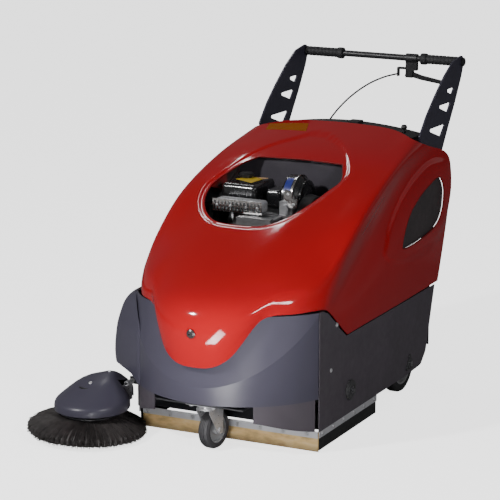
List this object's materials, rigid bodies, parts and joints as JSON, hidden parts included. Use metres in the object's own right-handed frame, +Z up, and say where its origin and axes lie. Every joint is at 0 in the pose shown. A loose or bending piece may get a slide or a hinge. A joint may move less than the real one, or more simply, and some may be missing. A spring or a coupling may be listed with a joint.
{
  "type": "walk-behind sweeper",
  "caption": "Walk-behind petrol sweeper with a red hinged hood, main roller brush, side disc brush, swivel caster, rear wheels, debris hopper and a tall push handle.",
  "frame": {"origin": "middle of the bounding box at floor level", "axes": "+Z up, the front caster end faces -Y, the operator stands at +Y; +X is the operator's left-hand side"},
  "size_m": [0.9414, 1.5824, 1.0719],
  "materials": {
    "frame_steel": "dark grey powder coat on welded steel tube",
    "side_plate_paint": "dark violet-grey powder coat",
    "bumper_paint": "blue-grey satin paint",
    "hood_red": "glossy red moulded shell",
    "black_plastic": "black grained plastic",
    "flap_rubber_black": "black rubber sheet",
    "flap_rubber_tan": "tan natural rubber sheet",
    "strip_aluminium": "mill-finish aluminium",
    "zinc_steel": "zinc-plated steel",
    "shaft_steel": "bright ground steel",
    "cast_metal": "cast housing",
    "engine_alloy": "die-cast aluminium with fins",
    "tank_black": "gloss black enamel",
    "bristle_black": "black nylon bristle",
    "core_plastic": "grey moulded core",
    "tyre_rubber": "black tread rubber",
    "rim_grey": "grey moulded rim",
    "belt_rubber": "black V-belt",
    "grip_rubber": "black foam-rubber grip",
    "arm_paint": "slate powder coat on steel plate",
    "bar_paint": "black powder coat on steel tube",
    "cable_black": "black cable conduit",
    "hopper_plastic": "charcoal moulded bin",
    "filter_media": "pleated paper media",
    "battery_case": "black battery case",
    "caster_grey": "grey rubber tread",
    "knob_red": "red plastic knob"
  },
  "bodies": {
    "chassis": {"chassis_frame": "frame_steel", "brush_housing": "frame_steel", "side_plate_left": "side_plate_paint", "side_plate_right": "side_plate_paint", "front_bumper": "bumper_paint", "lower_skirts": "side_plate_paint", "front_flap": "flap_rubber_tan", "rubber_flaps": "flap_rubber_black", "clamp_strips": "strip_aluminium", "body_bolts": "zinc_steel", "battery": "battery_case", "flange_bearings": "cast_metal", "brush_belt": "belt_rubber", "drive_belt": "belt_rubber", "engine_block": "engine_alloy", "fan_cover": "black_plastic", "fuel_tank": "tank_black", "air_cleaner": "black_plastic", "muffler": "zinc_steel", "fan_housing": "black_plastic", "filter_box": "frame_steel", "panel_filter": "filter_media", "control_panel": "black_plastic", "handle_arm_left": "arm_paint", "handle_arm_right": "arm_paint", "handle_bar": "bar_paint", "grips": "grip_rubber", "lever_bracket": "bar_paint", "clutch_cable": "cable_black", "caster_plate": "zinc_steel"},
    "main_brush": {"brush_core": "core_plastic", "brush_bristles": "bristle_black", "brush_shaft": "shaft_steel"},
    "engine_shaft": {"crankshaft": "shaft_steel", "fan_impeller": "engine_alloy"},
    "drive_wheel": {"drive_axle": "shaft_steel", "tyre_right": "tyre_rubber", "rim_right": "rim_grey"},
    "free_wheel": {"tyre_left": "tyre_rubber", "rim_left": "rim_grey"},
    "idler": {"idler_arm": "zinc_steel"},
    "idler_pulley": {"idler_roller": "black_plastic"},
    "clutch_hand_lever": {"clutch_lever": "bar_paint"},
    "throttle": {"throttle_lever": "black_plastic"},
    "tank_cap": {"fuel_cap": "black_plastic"},
    "recoil": {"recoil_handle": "black_plastic"},
    "shaker": {"shaker_handle": "knob_red"},
    "hopper": {"debris_hopper": "hopper_plastic", "hopper_handle": "zinc_steel"},
    "hood_cover": {"hood": "hood_red", "side_grilles": "black_plastic"},
    "lock": {"nose_lock": "zinc_steel"},
    "caster_swivel": {"caster_fork": "zinc_steel"},
    "caster_roll": {"caster_wheel": "rim_grey", "caster_tyre": "caster_grey"},
    "side_arm": {"side_brush_arm": "zinc_steel", "side_brush_cover": "bumper_paint", "side_brush_motor": "black_plastic"},
    "side_disc": {"side_brush_hub": "core_plastic", "side_brush_bristles": "bristle_black"}
  },
  "joints": [
    {"name": "brush_spin", "type": "hinge", "parent": "chassis", "child": "main_brush", "pos_m": [0.13474, -0.20676, 0.141], "axis": [1, 0, 0], "continuous": true},
    {"name": "crank_spin", "type": "hinge", "parent": "chassis", "child": "engine_shaft", "pos_m": [0.13474, -0.00776, 0.6], "axis": [1, 0, 0], "continuous": true},
    {"name": "drive_wheel_spin", "type": "hinge", "parent": "chassis", "child": "drive_wheel", "pos_m": [0.13474, 0.28424, 0.1], "axis": [1, 0, 0], "continuous": true},
    {"name": "free_wheel_spin", "type": "hinge", "parent": "chassis", "child": "free_wheel", "pos_m": [0.41274, 0.28424, 0.1], "axis": [1, 0, 0], "continuous": true},
    {"name": "idler_swing", "type": "hinge", "parent": "chassis", "child": "idler", "pos_m": [-0.13926, 0.08224, 0.25], "axis": [1, 0, 0], "range_deg": [0, 8]},
    {"name": "idler_spin", "type": "hinge", "parent": "idler", "child": "idler_pulley", "pos_m": [-0.15126, 0.04024, 0.196], "axis": [1, 0, 0], "continuous": true},
    {"name": "clutch_pull", "type": "hinge", "parent": "chassis", "child": "clutch_hand_lever", "pos_m": [0.23874, 0.77124, 0.992], "axis": [0, -1, 0], "range_deg": [0, 16]},
    {"name": "throttle_turn", "type": "hinge", "parent": "chassis", "child": "throttle", "pos_m": [0.13474, 0.46924, 0.8], "axis": [1, 0, 0], "range_deg": [-15, 15]},
    {"name": "cap_turn", "type": "hinge", "parent": "chassis", "child": "tank_cap", "pos_m": [-0.03026, 0.03624, 0.75], "axis": [0, 0, 1], "continuous": true},
    {"name": "recoil_pull", "type": "slide", "parent": "chassis", "child": "recoil", "axis": [1, 0, 0], "range_m": [0, 0.06]},
    {"name": "shaker_pull", "type": "slide", "parent": "chassis", "child": "shaker", "axis": [0, 1, 0], "range_m": [0, 0.03]},
    {"name": "hopper_slide", "type": "slide", "parent": "chassis", "child": "hopper", "axis": [0, 1, 0], "range_m": [0, 0.4]},
    {"name": "hood_lift", "type": "hinge", "parent": "chassis", "child": "hood_cover", "pos_m": [0.13474, 0.53024, 0.736], "axis": [-1, 0, 0], "range_deg": [0, 27]},
    {"name": "lock_turn", "type": "hinge", "parent": "hood_cover", "child": "lock", "pos_m": [0.13474, -0.67376, 0.4], "axis": [0, 1, 0], "range_deg": [0, 90]},
    {"name": "caster_turn", "type": "hinge", "parent": "chassis", "child": "caster_swivel", "pos_m": [0.13474, -0.57276, 0.159], "axis": [0, 0, 1], "continuous": true},
    {"name": "caster_spin", "type": "hinge", "parent": "caster_swivel", "child": "caster_roll", "pos_m": [0.14022, -0.53819, 0.0625], "axis": [0.9877, -0.1564, 0], "continuous": true},
    {"name": "side_arm_lift", "type": "hinge", "parent": "chassis", "child": "side_arm", "pos_m": [-0.19626, -0.47176, 0.15], "axis": [0, 1, 0], "range_deg": [0, 6]},
    {"name": "side_brush_spin", "type": "hinge", "parent": "side_arm", "child": "side_disc", "pos_m": [-0.27726, -0.59776, 0.06], "axis": [0.0308, 0.0308, 0.999], "continuous": true}
  ],
  "couplings": [
    {"joint": "crank_spin", "follows": "brush_spin", "ratio": 2.8333},
    {"joint": "idler_swing", "follows": "clutch_pull", "ratio": 0.5}
  ]
}
